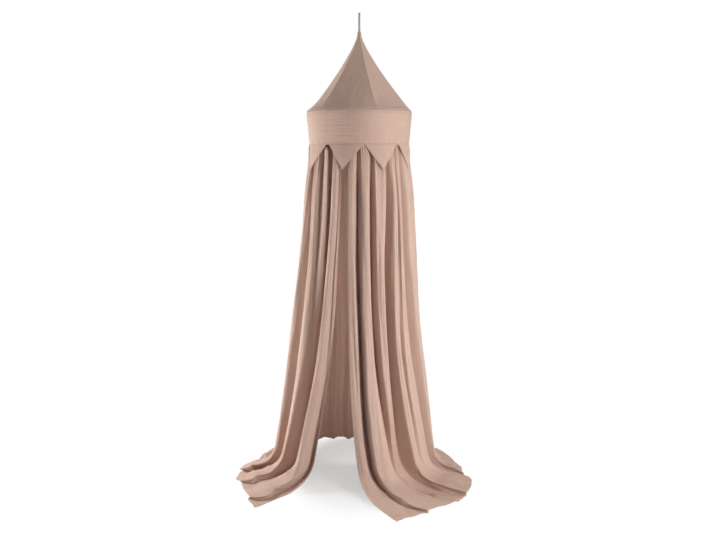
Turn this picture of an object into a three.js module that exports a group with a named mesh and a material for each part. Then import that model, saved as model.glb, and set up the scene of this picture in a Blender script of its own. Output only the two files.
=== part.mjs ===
// Bed crown canopy. A gored cloth roof and a straight band hang over a push-fit hoop, pennants are sewn
// round the band's lower edge, and a gathered curtain, open at the front, sweeps out over the floor.
// Millimetres, Z up, the front opening faces -Y and +X is to the right seen from the front.
// The origin is the inside top of the hanging loop, where a hook carries the canopy.

import * as THREE from 'three';

// Cloth and clearances
const clothThickness = 1.2;
const seamGap = 0.3;
const pennantThickness = 2;

// Hanging loop: a tape folded in two, its eye open along X
const tapeWidth = 10;
const tapeThickness = 1.5;
const loopEyeWidth = 5;
const loopHeight = 85;
const loopTailLength = 12;

// Hoop: rod quarters pushed into sleeves
const hoopRodDiameter = 8;
const hoopFit = 0.3;
const sleeveWall = 1;
const sleeveLength = 60;
const rodEndGap = 2;
const hoopSectionCount = 4;

// Casing, roof and band
const crownRadius = 250;
const casingEase = 1;
const casingCornerRadius = 2.5;
const casingLegDrop = 1;
const roofHeight = 375;
const goreCount = 6;
const bandHeight = 145;
const bandDrawIn = 12;

// Pennants
const pennantLength = 110;
const pennantBaseWidth = 165;
const pennantTipWidth = 4;
const pennantTipStandOff = 14;

// Curtain
const curtainHeight = 1615;
const headingTuck = 12;
const headingEase = 1.9;
const headingFoldDepth = 18;
const hangingFoldDepth = 48;
const lowFoldDepth = 72;
const floorFoldDepth = 48;
const hemFoldDepth = 20;
const sweepHeight = 150;
const sweepRun = 210;
const hemClearance = 2;

// Turns and shapes that have no length. Turns are in degrees round from the front over the left side.
const firstSeamTurn = 42;
const roofHollowPower = 1.25;
const goreFlatShare = 0.8;
const goreSwellPower = 3;
const backFoldCount = 8;
const backDrawInShare = 0.19;
const backReachPower = 0.7;
const backRiseShares = { ridge: 0.6, valley: 0.3 };
const pleatPowers = { hanging: 0.75, floor: 0.4 };
const foldSinkShare = 0.45;
const flareShares = { straight: 0.68, curved: 0.32 };

// Where each pennant's base and tip hang. They are sewn on by eye, a little unevenly.
const pennantTurns = [
  { base: 58.5, tip: 61 },
  { base: 15.2, tip: 18 },
  { base: -25.3, tip: -25 },
  { base: -68.5, tip: -66 },
  { base: -115, tip: -116 },
  { base: -162, tip: -160 },
  { base: 152, tip: 153 },
  { base: 105, tip: 104 },
];

// Fold lines of the curtain, from the left leaf's front edge round the left to the back, and from there
// round the right to the right leaf's front edge. Each has its turn near the heading, half way down, near
// the floor and at the hem. foot is where the hanging cloth would meet the floor and reach is where its
// hem lies, both as shares of the crown's radius. rise is 1 on a ridge, 0 in a valley, less on a low ridge,
// where the cloth hangs, and lie is the same on the floor, where it isn't the same as rise.
const leftFoldShares = [
  { name: 'left_edge', near: 20, half: 25, low: 37, hem: 43.6,
    foot: 1.56, reach: 2.71, rise: 0.6, lie: 0.35 },
  { name: 'left_valley_0', near: 22.5, half: 28.5, low: 40.5, hem: 50.5,
    foot: 1.57, reach: 2.62, rise: 0.65, lie: 0 },
  { name: 'left_ridge_1', near: 27, half: 33.5, low: 45, hem: 52.2, foot: 1.58, reach: 2.61, rise: 1 },
  { name: 'left_valley_1', near: 35.5, half: 43.5, low: 57, hem: 66.5, foot: 1.6, reach: 2.48, rise: 0 },
  { name: 'left_ridge_2', near: 50.5, half: 52.5, low: 62.5, hem: 69.3, foot: 1.62, reach: 2.57, rise: 1 },
  { name: 'left_valley_2', near: 61.5, half: 73, low: 73.5, hem: 77.5, foot: 1.64, reach: 2.4, rise: 0 },
  { name: 'left_ridge_3', near: 69, half: 84, low: 77.5, hem: 79.7, foot: 1.65, reach: 2.44, rise: 1 },
  { name: 'left_valley_3', near: 79, half: 96, low: 95, hem: 92, foot: 1.6, reach: 2.1, rise: 0 },
  { name: 'left_ridge_4', near: 90, half: 108, low: 107, hem: 106, foot: 1.5, reach: 1.88, rise: 1 },
  { name: 'left_valley_4', near: 101, half: 119, low: 119, hem: 119, foot: 1.42, reach: 1.6, rise: 0 },
];
const rightFoldShares = [
  { name: 'right_valley_7', near: 260, half: 254, low: 250, hem: 250, foot: 1.24, reach: 1.5, rise: 0 },
  { name: 'right_ridge_7', near: 272, half: 265, low: 260, hem: 260, foot: 1.34, reach: 1.76, rise: 1 },
  { name: 'right_valley_6', near: 284, half: 278, low: 270, hem: 272,
    foot: 1.41, reach: 1.98, rise: -0.1, lie: 0 },
  { name: 'right_ridge_6', near: 297, half: 291, low: 281, hem: 285, foot: 1.44, reach: 2.14, rise: 1 },
  { name: 'right_valley_5', near: 308.5, half: 300.5, low: 288, hem: 288.5,
    foot: 1.44, reach: 2.18, rise: -0.2, lie: 0 },
  { name: 'right_ridge_5', near: 313, half: 314, low: 301, hem: 293, foot: 1.43, reach: 2.36, rise: 0.9 },
  { name: 'right_valley_4', near: 316.5, half: 318, low: 307, hem: 299,
    foot: 1.42, reach: 2.44, rise: 0.5, lie: 0.8 },
  { name: 'right_ridge_4', near: 321, half: 324, low: 313.5, hem: 304.8, foot: 1.42, reach: 2.5, rise: 1 },
  { name: 'right_valley_3', near: 329, half: 329.5, low: 318, hem: 307.5, foot: 1.4, reach: 2.48, rise: 0 },
  { name: 'right_ridge_3', near: 340.5, half: 338, low: 325, hem: 310,
    foot: 1.4, reach: 2.48, rise: 0.86, lie: 0.1 },
  { name: 'right_valley_2', near: 346.4, half: 343.8, low: 329, hem: 312.5, foot: 1.4, reach: 2.48, rise: 0 },
  { name: 'right_ridge_2', near: 354.5, half: 352, low: 344.5, hem: 328.3, foot: 1.41, reach: 2.46, rise: 1 },
  { name: 'right_valley_1', near: 361.9, half: 359, low: 349.5, hem: 331, foot: 1.4, reach: 2.44, rise: 0 },
  { name: 'right_ridge_1', near: 367.5, half: 364.5, low: 357, hem: 340,
    foot: 1.4, reach: 2.5, rise: 1, lie: 0.7 },
  { name: 'right_edge', near: 372, half: 369.4, low: 361, hem: 345.2,
    foot: 1.4, reach: 2.54, rise: 0.75, lie: 0.5 },
];

// Heights where the turns above are read, as shares of the hanging height
const turnHeightShares = { near: 0.166, half: 0.587, low: 0.926 };

// Rows down the curtain, as shares of the cloth's length from heading to hem
const curtainRowShares = [0, 0.02, 0.05, 0.1, 0.18, 0.29, 0.41, 0.53, 0.64, 0.73, 0.79, 0.83, 0.87, 0.92, 1];

// Where the curtain's lengths of cloth are seamed: each panel runs from one fold line to another
const panelLines = [
  { name: 'left_front_leaf', from: 'left_edge', to: 'left_valley_2' },
  { name: 'left_side_panel', from: 'left_valley_2', to: 'left_valley_4' },
  { name: 'back_left_panel', from: 'left_valley_4', to: 'back_middle' },
  { name: 'back_right_panel', from: 'back_middle', to: 'right_valley_7' },
  { name: 'right_side_panel', from: 'right_valley_7', to: 'right_valley_3' },
  { name: 'right_front_leaf', from: 'right_valley_3', to: 'right_edge' },
];

// Levels and radii that follow
const apexLevel = -loopHeight;
const hoopLevel = apexLevel - roofHeight;
const bandFootLevel = hoopLevel - bandHeight;
const bandFootRadius = crownRadius - bandDrawIn;
const floorLevel = bandFootLevel - curtainHeight;
const sleeveRadius = hoopRodDiameter / 2 + hoopFit + sleeveWall;
const casingHollow = 2 * (sleeveRadius + casingEase);
const hoopRadius = crownRadius - clothThickness - casingHollow / 2;
const casingTop = hoopLevel + casingHollow / 2 + clothThickness;
const casingFoot = hoopLevel - casingHollow / 2 - casingLegDrop;
const headingLevel = bandFootLevel + headingTuck;
const loopHalfDepth = loopEyeWidth / 2 + tapeThickness;
const loopCornerRadius = Math.hypot(tapeWidth / 2, loopHalfDepth);
const neckRadius = loopCornerRadius / Math.cos(Math.PI / goreCount) + clothThickness + seamGap;
const hangingHeight = headingLevel - floorLevel;
const headingStandOut = (1 - foldSinkShare) * headingFoldDepth;
const headingRadius = bandFootRadius - clothThickness - headingEase - headingStandOut;

// Mesh steps
const goreColumns = 6;
const goreRowShares = [0, 0.03, 0.1, 0.2, 0.32, 0.45, 0.58, 0.72, 0.86, 1];
const bandColumns = 24;
const bandRows = 2;
const pennantColumns = 6;
const pennantRows = 4;
const foldColumns = 3;
const casingSegments = 40;
const rodSides = 8;
const rodSteps = 20;
const sleeveSteps = 4;
const loopArcSteps = 8;

// Finishes
const clothColor = 0xcbab9b;
const tapeColor = 0xd3c6bf;
const hoopColor = 0xe6e4de;
const sleeveColor = 0xbfbdb8;
const clothRoughness = 0.95;
const tapeRoughness = 0.9;
const plasticRoughness = 0.5;

const canopy = new THREE.Group();

function finish(color, roughness) {
  return new THREE.MeshStandardMaterial({ color, roughness, metalness: 0 });
}

function addPiece(name, geometry, material) {
  const piece = new THREE.Mesh(geometry, material);
  piece.name = name;
  canopy.add(piece);
  return piece;
}

// Turn in degrees from the front (-Y) over the left side (-X), as a place at that radius and level
function placeAt(turn, radius, level) {
  const angle = THREE.MathUtils.degToRad(turn);
  return new THREE.Vector3(-radius * Math.sin(angle), -radius * Math.cos(angle), level);
}

function turnForLength(length, radius) {
  return THREE.MathUtils.radToDeg(length / radius);
}

// Value at q on a smooth curve through the knots
function smoothThrough(knots, values, q) {
  const last = knots.length - 1;
  const slope = (i) => {
    const before = Math.max(i - 1, 0);
    const after = Math.min(i + 1, last);
    return (values[after] - values[before]) / (knots[after] - knots[before]);
  };
  let i = 0;
  while (i < last - 1 && q > knots[i + 1]) i += 1;
  const width = knots[i + 1] - knots[i];
  const t = THREE.MathUtils.clamp((q - knots[i]) / width, 0, 1);
  const rest = 1 - t;
  const start = values[i] * (1 + 2 * t) * rest * rest + slope(i) * width * t * rest * rest;
  const end = values[i + 1] * (3 - 2 * t) * t * t - slope(i + 1) * width * rest * t * t;
  return start + end;
}

// Outward directions over a grid of places
function gridNormals(grid) {
  const normals = grid.map((line) => line.map(() => new THREE.Vector3()));
  for (let c = 0; c < grid.length - 1; c += 1) {
    for (let r = 0; r < grid[c].length - 1; r += 1) {
      const across = grid[c + 1][r + 1].clone().sub(grid[c][r]);
      const down = grid[c][r + 1].clone().sub(grid[c + 1][r]);
      const normal = across.cross(down);
      for (const [dc, dr] of [[0, 0], [1, 0], [0, 1], [1, 1]]) normals[c + dc][r + dr].add(normal);
    }
  }
  normals.forEach((line) => line.forEach((normal) => normal.normalize()));
  return normals;
}

// A closed sheet of cloth from a grid of places on its outer face, grid[column][row]. The neighbours
// are the next lines of the cloth beyond a seam, so that both sides of the seam share one mitre.
function sheetGeometry(grid, thickness, neighbours = { before: [], after: [] }) {
  const columns = grid.length;
  const rows = grid[0].length;
  const allNormals = gridNormals([...neighbours.before, ...grid, ...neighbours.after]);
  const normals = allNormals.slice(neighbours.before.length, neighbours.before.length + columns);
  const positions = [];
  grid.forEach((line) => line.forEach((point) => positions.push(point.x, point.y, point.z)));
  grid.forEach((line, c) => line.forEach((point, r) => {
    const inner = point.clone().addScaledVector(normals[c][r], -thickness);
    positions.push(inner.x, inner.y, inner.z);
  }));
  const outer = (c, r) => c * rows + r;
  const inner = (c, r) => columns * rows + c * rows + r;
  const triangles = [];
  const quad = (a, b, c, d) => triangles.push(a, b, c, a, c, d);
  for (let c = 0; c < columns - 1; c += 1) {
    for (let r = 0; r < rows - 1; r += 1) {
      quad(outer(c, r), outer(c + 1, r), outer(c + 1, r + 1), outer(c, r + 1));
      quad(inner(c, r), inner(c, r + 1), inner(c + 1, r + 1), inner(c + 1, r));
    }
    quad(outer(c, 0), inner(c, 0), inner(c + 1, 0), outer(c + 1, 0));
    quad(outer(c, rows - 1), outer(c + 1, rows - 1), inner(c + 1, rows - 1), inner(c, rows - 1));
  }
  for (let r = 0; r < rows - 1; r += 1) {
    quad(outer(0, r), outer(0, r + 1), inner(0, r + 1), inner(0, r));
    quad(outer(columns - 1, r), inner(columns - 1, r), inner(columns - 1, r + 1), outer(columns - 1, r + 1));
  }
  const geometry = new THREE.BufferGeometry();
  geometry.setAttribute('position', new THREE.Float32BufferAttribute(positions, 3));
  geometry.setIndex(triangles);
  return geometry;
}

// A closed tube or rod along an arc of the hoop, with a bore unless that is 0
function arcRodGeometry(startTurn, endTurn, { outer, bore, steps }) {
  const walls = bore > 0 ? [outer, bore] : [outer];
  const positions = [];
  for (const wall of walls) {
    for (let s = 0; s <= steps; s += 1) {
      const turn = THREE.MathUtils.lerp(startTurn, endTurn, s / steps);
      for (let k = 0; k < rodSides; k += 1) {
        const angle = (2 * Math.PI * k) / rodSides;
        const point = placeAt(turn, hoopRadius + wall * Math.cos(angle), hoopLevel + wall * Math.sin(angle));
        positions.push(point.x, point.y, point.z);
      }
    }
  }
  const at = (wall, s, k) => (wall * (steps + 1) + s) * rodSides + (k % rodSides);
  const triangles = [];
  const quad = (a, b, c, d) => triangles.push(a, b, c, a, c, d);
  for (let s = 0; s < steps; s += 1) {
    for (let k = 0; k < rodSides; k += 1) {
      quad(at(0, s, k), at(0, s, k + 1), at(0, s + 1, k + 1), at(0, s + 1, k));
      if (bore > 0) quad(at(1, s, k), at(1, s + 1, k), at(1, s + 1, k + 1), at(1, s, k + 1));
    }
  }
  for (let k = 0; k < rodSides; k += 1) {
    if (bore > 0) {
      quad(at(0, 0, k), at(1, 0, k), at(1, 0, k + 1), at(0, 0, k + 1));
      quad(at(0, steps, k), at(0, steps, k + 1), at(1, steps, k + 1), at(1, steps, k));
    } else if (k > 1) {
      triangles.push(at(0, 0, 0), at(0, 0, k), at(0, 0, k - 1));
      triangles.push(at(0, steps, 0), at(0, steps, k - 1), at(0, steps, k));
    }
  }
  const geometry = new THREE.BufferGeometry();
  geometry.setAttribute('position', new THREE.Float32BufferAttribute(positions, 3));
  geometry.setIndex(triangles);
  return geometry;
}

// The loop's two legs run down into the neck, where the gores are sewn to them
function hangingLoop() {
  const innerHalf = loopEyeWidth / 2;
  const outerHalf = loopHalfDepth;
  const foot = apexLevel - loopTailLength;
  const outline = new THREE.Shape();
  outline.moveTo(-outerHalf, foot);
  outline.lineTo(-innerHalf, foot);
  outline.lineTo(-innerHalf, -innerHalf);
  outline.absarc(0, -innerHalf, innerHalf, Math.PI, 0, true);
  outline.lineTo(innerHalf, foot);
  outline.lineTo(outerHalf, foot);
  outline.lineTo(outerHalf, -innerHalf);
  outline.absarc(0, -innerHalf, outerHalf, 0, Math.PI, false);
  outline.lineTo(-outerHalf, foot);
  const geometry = new THREE.ExtrudeGeometry(outline, {
    depth: tapeWidth,
    bevelEnabled: false,
    curveSegments: loopArcSteps,
  });
  geometry.translate(0, 0, -tapeWidth / 2);
  const loop = addPiece('hanging_loop', geometry, finish(tapeColor, tapeRoughness));
  loop.rotation.set(Math.PI / 2, Math.PI / 2, 0);
}

// A place on the roof, across one gore from -1 to 1 and at a share of its height. Between its seams
// each gore is drawn flat near the apex and swells to the hoop's round at its foot.
function roofPlace(middleTurn, across, share) {
  const foot = casingTop + seamGap + clothThickness;
  const cone = (crownRadius - clothThickness) * share ** roofHollowPower;
  const round = Math.hypot(neckRadius, cone);
  const halfGore = Math.PI / goreCount;
  const acrossOwnGore = THREE.MathUtils.euclideanModulo(across + 1, 2) - 1;
  const flat = Math.cos(halfGore) / Math.cos(halfGore * acrossOwnGore);
  const radius = round * THREE.MathUtils.lerp(1, flat, goreFlatShare * (1 - share ** goreSwellPower));
  const halfTurn = THREE.MathUtils.radToDeg(halfGore) - turnForLength(seamGap / 2, radius);
  return placeAt(middleTurn + across * halfTurn, radius, THREE.MathUtils.lerp(apexLevel, foot, share));
}

function roofGores() {
  const goreTurn = 360 / goreCount;
  for (let g = 0; g < goreCount; g += 1) {
    const middleTurn = firstSeamTurn + goreTurn / 2 + g * goreTurn;
    const line = (c) => goreRowShares.map((share) => roofPlace(middleTurn, (2 * c) / goreColumns - 1, share));
    const grid = Array.from({ length: goreColumns + 1 }, (_, c) => line(c));
    const neighbours = { before: [line(-1)], after: [line(goreColumns + 1)] };
    const gore = sheetGeometry(grid, clothThickness, neighbours);
    addPiece(`roof_gore_${g + 1}`, gore, finish(clothColor, clothRoughness));
  }
}

function hoop() {
  const sectionTurn = 360 / hoopSectionCount;
  const rodGapTurn = turnForLength(rodEndGap, hoopRadius);
  const sleeveTurn = turnForLength(sleeveLength, hoopRadius);
  const rodRadius = hoopRodDiameter / 2;
  for (let h = 0; h < hoopSectionCount; h += 1) {
    const start = h * sectionTurn + sectionTurn / 2;
    const end = start + sectionTurn;
    const rodStart = start + rodGapTurn / 2;
    const rodEnd = end - rodGapTurn / 2;
    const rod = arcRodGeometry(rodStart, rodEnd, { outer: rodRadius, bore: 0, steps: rodSteps });
    addPiece(`hoop_section_${h + 1}`, rod, finish(hoopColor, plasticRoughness));
    const sleeveStart = start - sleeveTurn / 2;
    const sleeveEnd = start + sleeveTurn / 2;
    const bore = rodRadius + hoopFit;
    const tube = { outer: sleeveRadius, bore, steps: sleeveSteps };
    const sleeve = arcRodGeometry(sleeveStart, sleeveEnd, tube);
    addPiece(`hoop_connector_${h + 1}`, sleeve, finish(sleeveColor, plasticRoughness));
  }
}

// The casing is folded over the hoop and left open below, where its legs meet the band
function hoopCasing() {
  const outer = crownRadius;
  const inner = crownRadius - casingHollow - 2 * clothThickness;
  const corner = casingCornerRadius;
  const chamfer = corner * (1 - Math.SQRT1_2);
  const wall = clothThickness;
  const profile = [
    [outer, casingFoot],
    [outer, casingTop - corner],
    [outer - chamfer, casingTop - chamfer],
    [outer - corner, casingTop],
    [inner + corner, casingTop],
    [inner + chamfer, casingTop - chamfer],
    [inner, casingTop - corner],
    [inner, casingFoot],
    [inner + wall, casingFoot],
    [inner + wall, casingTop - corner],
    [inner + corner, casingTop - wall],
    [outer - corner, casingTop - wall],
    [outer - wall, casingTop - corner],
    [outer - wall, casingFoot],
    [outer, casingFoot],
  ];
  const points = profile.map(([radius, level]) => new THREE.Vector2(radius, level));
  const geometry = new THREE.LatheGeometry(points, casingSegments);
  geometry.rotateX(Math.PI / 2);
  addPiece('hoop_casing', geometry, finish(clothColor, clothRoughness));
}

function band() {
  const top = casingFoot - seamGap;
  const halves = [{ name: 'band_front', from: -90 }, { name: 'band_back', from: 90 }];
  for (const half of halves) {
    const grid = [];
    for (let c = 0; c <= bandColumns; c += 1) {
      const line = [];
      for (let r = 0; r <= bandRows; r += 1) {
        const radius = THREE.MathUtils.lerp(crownRadius, bandFootRadius, r / bandRows);
        const gapTurn = turnForLength(seamGap / 2, radius);
        const turn = THREE.MathUtils.lerp(half.from + gapTurn, half.from + 180 - gapTurn, c / bandColumns);
        line.push(placeAt(turn, radius, THREE.MathUtils.lerp(top, bandFootLevel, r / bandRows)));
      }
      grid.push(line);
    }
    addPiece(half.name, sheetGeometry(grid, clothThickness), finish(clothColor, clothRoughness));
  }
}

// Each pennant lies on the curtain's ridges, so it leans out a little towards its tip
function pennants() {
  const topRadius = bandFootRadius + pennantThickness;
  const baseTurn = turnForLength(pennantBaseWidth, topRadius);
  pennantTurns.forEach((turns, p) => {
    const grid = [];
    for (let c = 0; c <= pennantColumns; c += 1) {
      const across = (2 * c) / pennantColumns - 1;
      const line = [];
      for (let r = 0; r <= pennantRows; r += 1) {
        const share = r / pennantRows;
        const radius = topRadius + pennantTipStandOff * share;
        const tipTurn = turnForLength(pennantTipWidth, radius);
        const middle = THREE.MathUtils.lerp(turns.base, turns.tip, share);
        const halfTurn = THREE.MathUtils.lerp(baseTurn, tipTurn, share) / 2;
        const level = bandFootLevel - seamGap - pennantLength * share;
        line.push(placeAt(middle + across * halfTurn, radius, level));
      }
      grid.push(line);
    }
    addPiece(`pennant_${p + 1}`, sheetGeometry(grid, pennantThickness), finish(clothColor, clothRoughness));
  });
}

// Fold lines across the back, evenly gathered between the last line on the left and the first on the
// right. The cloth hangs straighter there, so it is drawn in and its hem only just meets the floor.
function allFoldLines() {
  const left = leftFoldShares[leftFoldShares.length - 1];
  const right = rightFoldShares[0];
  const steps = 2 * backFoldCount;
  const back = [];
  for (let k = 1; k < steps; k += 1) {
    const share = k / steps;
    const between = (key) => THREE.MathUtils.lerp(left[key], right[key], share);
    const hollow = Math.sin(Math.PI * share);
    const foot = between('foot') - backDrawInShare * hollow ** 2;
    back.push({
      name: k === backFoldCount ? 'back_middle' : `back_line_${k}`,
      near: between('near'),
      half: between('half'),
      low: between('low'),
      hem: between('hem'),
      foot,
      reach: THREE.MathUtils.lerp(between('reach'), foot, hollow ** backReachPower),
      rise: k % 2 ? backRiseShares.ridge : backRiseShares.valley,
    });
  }
  return [...leftFoldShares, ...back, ...rightFoldShares].map((line) => ({ lie: line.rise, ...line }));
}

// The cloth's way down along one fold line: it flares, turns in a sweep and runs out over the floor.
// Gives its radius and level, how far its outer face has turned up, and where along the way it is.
function curtainWay(line, clothShare) {
  const foot = line.foot * crownRadius;
  const reach = Math.max(line.reach * crownRadius, foot);
  const sweep = sweepHeight * THREE.MathUtils.clamp((reach - foot) / sweepRun, 0, 1);
  const restLevel = floorLevel + clothThickness + hemClearance * (1 - sweep / sweepHeight);
  const { straight, curved } = flareShares;
  const spread = foot - headingRadius;
  const flaredRadius = (share) => headingRadius + spread * share * (straight + curved * share ** 2);
  const hanging = headingLevel - restLevel - sweep;
  const sweepTop = hanging / hangingHeight;
  const sweepTopRadius = flaredRadius(sweepTop);
  const lean = (spread * (straight + 3 * curved * sweepTop ** 2)) / hangingHeight;
  const sweepLength = sweep * Math.SQRT2 * (1 + lean);
  const sweepEndRadius = sweepTopRadius + sweep * (1 + lean);
  const run = Math.max(reach - sweepEndRadius, 0);
  const total = hanging + sweepLength + run;
  const length = total * clothShare;
  const way = { length, total, level: restLevel, up: Math.PI / 2, heightShare: 1, runShare: 0 };
  if (length <= hanging) {
    way.heightShare = length / hangingHeight;
    way.radius = flaredRadius(way.heightShare);
    way.level = headingLevel - length;
    way.up = 0;
  } else if (length < hanging + sweepLength) {
    const t = (length - hanging) / sweepLength;
    way.radius = sweepTopRadius + sweep * (2 * t * (1 - t) * lean + t * t * (1 + lean));
    way.level = restLevel + sweep * (1 - t) ** 2;
    way.up = (Math.PI / 2) * THREE.MathUtils.smoothstep(t, 0, 1);
  } else {
    way.runShare = run > 0 ? (length - hanging - sweepLength) / run : 0;
    way.radius = sweepEndRadius + run * way.runShare;
  }
  return way;
}

// How deep a fold is from ridge to valley: gathered small at the heading, deepest low down, and sunk
// under its own weight on the floor. Where the cloth hangs, part of the depth lies inside its way.
function foldDepth(way) {
  const { near } = turnHeightShares;
  const opened = THREE.MathUtils.smoothstep(way.heightShare, 0, near);
  const lowered = THREE.MathUtils.smoothstep(way.heightShare, near, 1);
  const gathered = THREE.MathUtils.lerp(headingFoldDepth, hangingFoldDepth, opened);
  const hanging = THREE.MathUtils.lerp(gathered, lowFoldDepth, lowered);
  const onFloor = THREE.MathUtils.lerp(floorFoldDepth, hemFoldDepth, way.runShare);
  return THREE.MathUtils.lerp(hanging, onFloor, Math.sin(way.up));
}

// How far the cloth rises from valley to ridge between two fold lines. Its ridges are round and its
// valleys narrow, more so where the pleats lie on the floor.
function foldRise(first, second, { part, way }) {
  const lowered = THREE.MathUtils.smoothstep(way.length / hangingHeight, turnHeightShares.half, 1);
  const before = THREE.MathUtils.lerp(first.rise, first.lie, lowered);
  const after = THREE.MathUtils.lerp(second.rise, second.lie, lowered);
  const rounded = (1 - Math.cos(Math.PI * part)) / 2;
  const towardsRidge = before > after ? 1 - rounded : rounded;
  const power = THREE.MathUtils.lerp(pleatPowers.hanging, pleatPowers.floor, Math.sin(way.up));
  return Math.min(before, after) + Math.abs(before - after) * towardsRidge ** power;
}

// Place on the curtain's outer face, at a fold line or part of the way to the next one
function curtainPlace(lines, position, clothShare) {
  const index = Math.min(Math.floor(position), lines.length - 2);
  const part = position - index;
  const line = {};
  for (const key of ['near', 'half', 'low', 'hem', 'foot', 'reach']) {
    line[key] = THREE.MathUtils.lerp(lines[index][key], lines[index + 1][key], part);
  }
  const way = curtainWay(line, clothShare);
  const { near, half, low } = turnHeightShares;
  const knots = [0, near * hangingHeight, half * hangingHeight, low * hangingHeight, way.total];
  const turn = smoothThrough(knots, [line.near, line.near, line.half, line.low, line.hem], way.length);
  const rise = foldRise(lines[index], lines[index + 1], { part, way });
  const depth = foldDepth(way);
  const out = (rise - foldSinkShare) * depth * Math.cos(way.up);
  return placeAt(turn, way.radius + out, way.level + rise * depth * Math.sin(way.up));
}

// A panel's seamed edge is drawn back by half the seam's gap, and a leaf's front edge isn't
function curtainPanels() {
  const lines = allFoldLines();
  const indexOf = (name) => lines.findIndex((line) => line.name === name);
  for (const panel of panelLines) {
    const from = indexOf(panel.from);
    const to = indexOf(panel.to);
    const columns = (to - from) * foldColumns;
    const line = (c) => curtainRowShares.map((share) => curtainPlace(lines, from + c / foldColumns, share));
    const grid = Array.from({ length: columns + 1 }, (_, c) => line(c));
    const neighbours = {
      before: from > 0 ? [line(-1)] : [],
      after: to < lines.length - 1 ? [line(columns + 1)] : [],
    };
    const drawBack = (edge, next) => edge.forEach((point, r) => {
      const along = next[r].clone().sub(point).normalize();
      point.addScaledVector(along, seamGap / 2);
    });
    if (neighbours.before.length) drawBack(grid[0], grid[1]);
    if (neighbours.after.length) drawBack(grid[columns], grid[columns - 1]);
    addPiece(panel.name, sheetGeometry(grid, clothThickness, neighbours), finish(clothColor, clothRoughness));
  }
}

hangingLoop();
roofGores();
hoop();
hoopCasing();
band();
pennants();
curtainPanels();

export default canopy;
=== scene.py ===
# Bed crown canopy: the cloth, tape, finishes, camera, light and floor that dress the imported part.
# Metres, Z up. The origin is the inside top of the hanging loop and the front opening faces -Y.
# Turns are in degrees round from the front over the left side, as in the part.

import math

import bpy
import numpy as np
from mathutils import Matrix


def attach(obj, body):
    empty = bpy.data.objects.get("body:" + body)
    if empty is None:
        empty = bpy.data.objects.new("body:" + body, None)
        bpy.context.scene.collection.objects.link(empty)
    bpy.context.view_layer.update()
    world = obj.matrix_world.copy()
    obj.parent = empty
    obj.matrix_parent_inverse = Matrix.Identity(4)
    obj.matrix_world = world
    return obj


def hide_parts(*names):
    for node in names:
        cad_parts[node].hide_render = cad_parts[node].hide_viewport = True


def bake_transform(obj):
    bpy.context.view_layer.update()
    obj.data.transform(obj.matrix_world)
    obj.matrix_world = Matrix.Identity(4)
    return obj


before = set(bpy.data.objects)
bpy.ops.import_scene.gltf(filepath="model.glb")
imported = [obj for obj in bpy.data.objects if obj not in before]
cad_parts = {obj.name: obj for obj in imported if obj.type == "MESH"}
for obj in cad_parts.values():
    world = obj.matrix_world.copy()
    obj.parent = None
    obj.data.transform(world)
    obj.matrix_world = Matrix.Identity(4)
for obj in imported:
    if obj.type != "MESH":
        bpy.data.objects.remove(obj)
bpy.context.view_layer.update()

# Sizes shared with the part
CLOTH = 0.0012
SEAM_GAP = 0.0003
CROWN_RADIUS = 0.250
APEX_LEVEL = -0.085
ROOF_NECK = 0.0089
CASING_TOP = -0.4525
CASING_FOOT = -0.4673
BAND_FOOT_LEVEL = -0.605
BAND_FOOT_RADIUS = 0.238
PENNANT_WIDTH = 0.165
PENNANT_LENGTH = 0.110
PENNANT_TIP = 0.004
PENNANT_CLOTH = 0.0020
HEADING_LEVEL = -0.593
HEADING_RADIUS = 0.2250
HANGING_HEIGHT = 1.627
FLOOR_LEVEL = -2.220

# The curtain's way from its heading to the floor: its flare, and the bend onto the floor
FLARE_STRAIGHT = 0.68
FLARE_CURVED = 0.32
SWEEP_HEIGHT = 0.150
SWEEP_RUN = 0.210
HEM_CLEARANCE = 0.002

# Depth of the folds at the heading, under the pennants, near the floor, past the bend and at the hem
HEADING_DEPTH, UPPER_DEPTH, LOWER_DEPTH = 0.018, 0.048, 0.072
BEND_DEPTH, HEM_DEPTH = 0.038, 0.020
# How much of the depth lies inside the cloth's middle way, and how far valleys sink below it
FOLD_SINK = 0.45
VALLEY_SINK = 0.2
# Shape of a fold's side hanging and on the floor: the smaller, the broader its ridge
HANGING_PLEAT, FLOOR_PLEAT = 0.75, 0.4
# Where a ridge's flat top starts between its valley, 0, and its middle, 1
LEFT_RIDGE_START, RIGHT_RIDGE_START = 0.92, 0.66

# Shares of the hanging height at which the fold table gives its turns, after the heading
TURN_HEIGHTS = (0.166, 0.587, 0.926)
# Folds of the curtain, from the left leaf's front edge round the left to the back, and round the right
# to the right leaf's front edge: turns near the heading, half way down, near the floor and at the hem,
# where the hanging cloth would meet the floor and where its hem lies as shares of the crown's radius,
# the rise where the cloth hangs, which is 1 on a ridge and 0 in a valley, and the rise on the floor.
LEFT_FOLDS = [
    ("left_edge", 20, 25, 37, 43.6, 1.56, 2.71, 0.6, 0.35),
    ("left_valley_0", 22.5, 28.5, 40.5, 50.5, 1.57, 2.62, 0.65, 0),
    ("left_ridge_1", 27, 33.5, 45, 52.2, 1.58, 2.61, 1, 1),
    ("left_valley_1", 35.5, 43.5, 57, 66.5, 1.6, 2.48, 0, 0),
    ("left_ridge_2", 50.5, 52.5, 62.5, 69.3, 1.62, 2.57, 1, 1),
    ("left_valley_2", 61.5, 73, 73.5, 77.5, 1.64, 2.4, 0, 0),
    ("left_ridge_3", 69, 84, 77.5, 79.7, 1.65, 2.44, 1, 1),
    ("left_valley_3", 79, 96, 95, 92, 1.6, 2.1, 0, 0),
    ("left_ridge_4", 90, 108, 107, 106, 1.5, 1.88, 1, 1),
    ("left_valley_4", 101, 119, 119, 119, 1.42, 1.6, 0, 0),
]
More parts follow.
